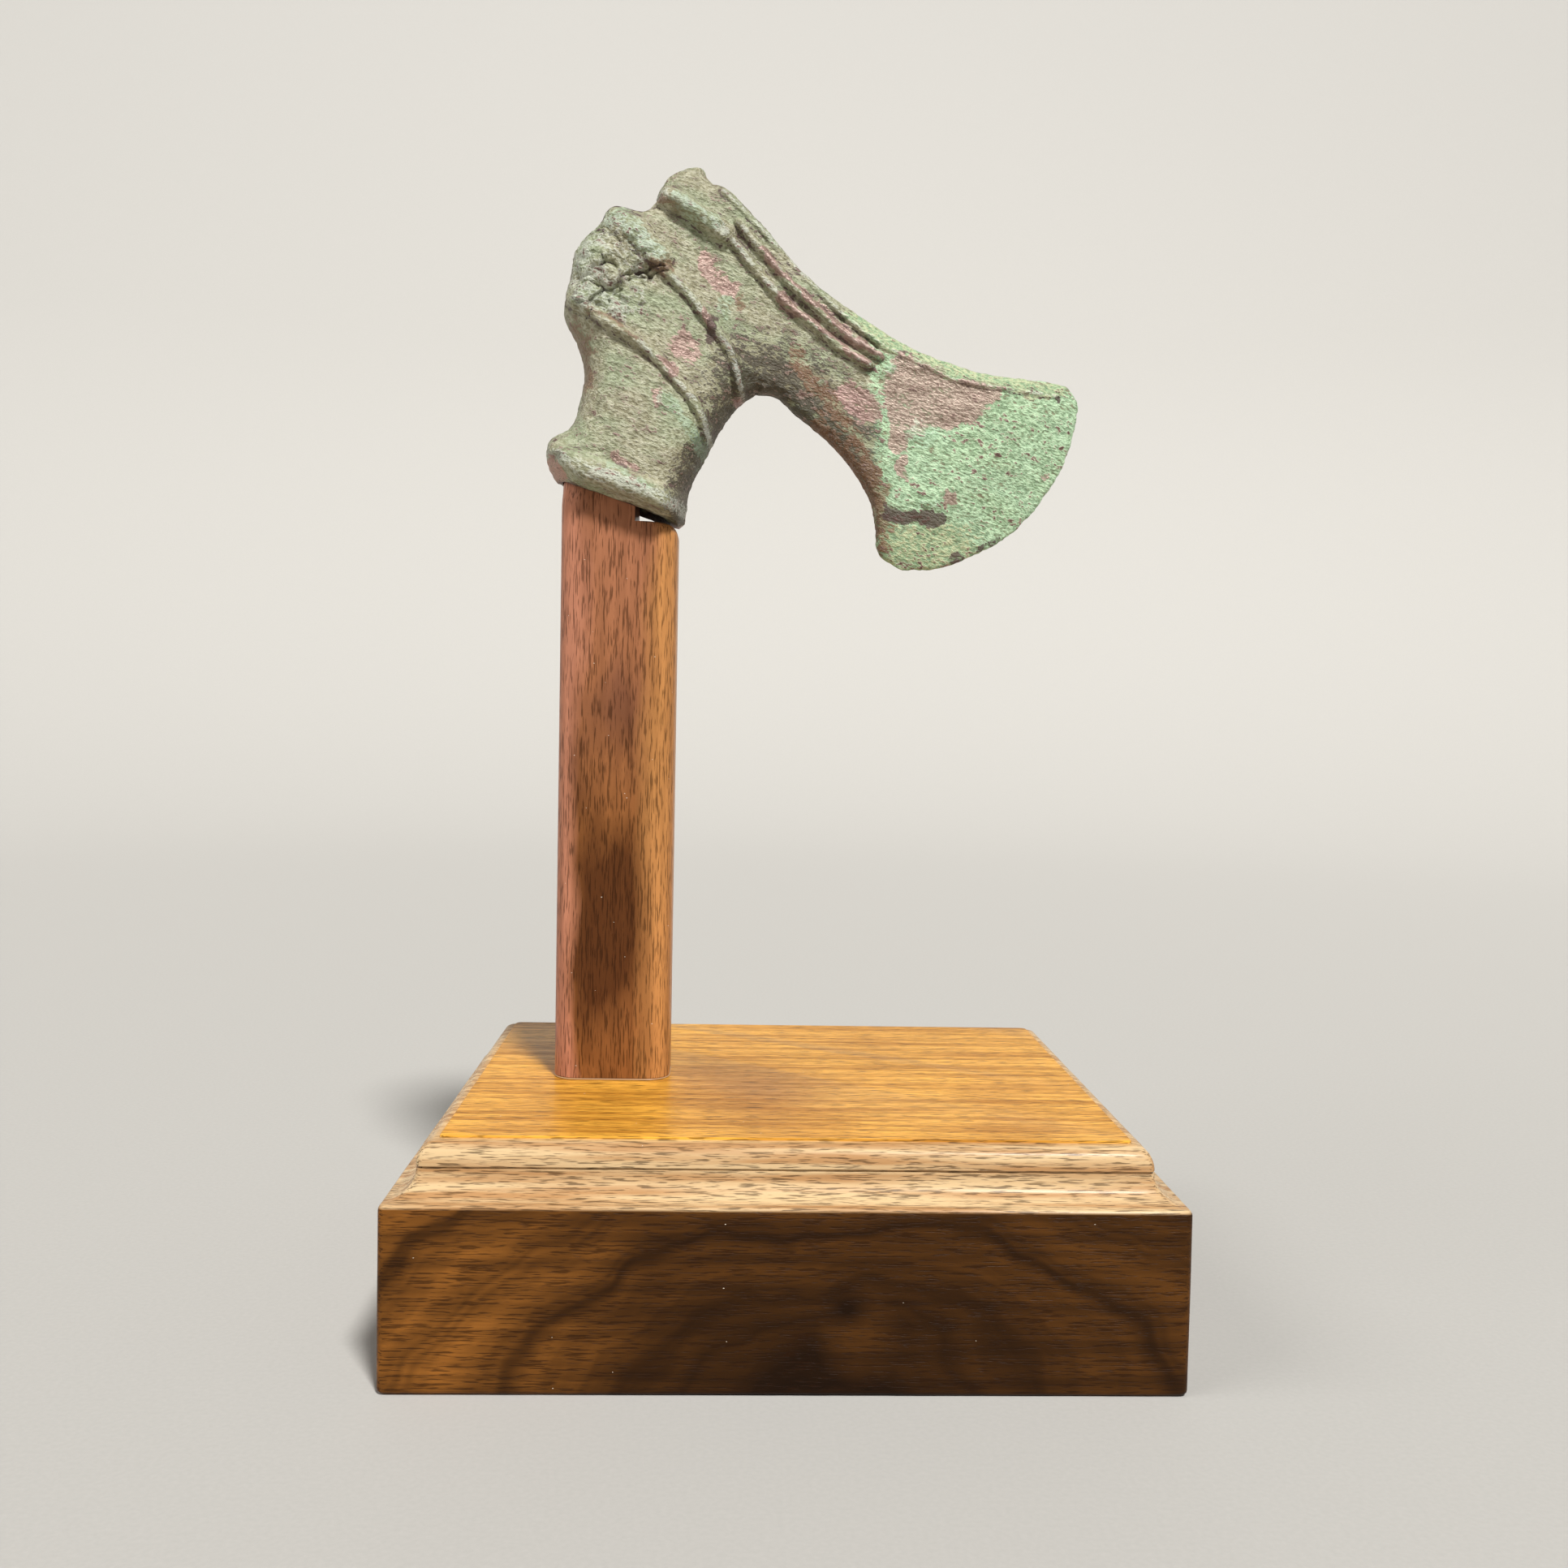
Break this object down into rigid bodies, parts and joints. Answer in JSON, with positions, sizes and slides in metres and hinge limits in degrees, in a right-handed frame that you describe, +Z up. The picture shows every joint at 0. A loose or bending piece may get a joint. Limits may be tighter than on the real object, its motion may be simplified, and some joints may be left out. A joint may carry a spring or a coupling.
{
  "type": "bronze age axe head on a display stand",
  "caption": "Corroded bronze shaft-hole axe head with a drooping curved blade, ribbed socket and rolled collar, held upright on a notched walnut post over a walnut block with a moulded edge",
  "frame": {"origin": "middle of the underside of the wooden block", "axes": "+Z up, +X along the blade from the socket to the cutting edge, +Y away from the side that the picture shows"},
  "size_m": [0.178, 0.146, 0.2885],
  "materials": {
    "base_walnut": "satin oiled walnut with a wavy dark figure on the front, worn brighter on the moulding",
    "post_walnut": "satin oiled walnut, straight upright grain with fine open pores",
    "patinated_bronze": "granular green and olive corrosion crust over purple-brown bare bronze"
  },
  "bodies": {
    "root": {"stand_base": "base_walnut", "stand_post": "post_walnut", "axe_head": "patinated_bronze"}
  },
  "joints": []
}
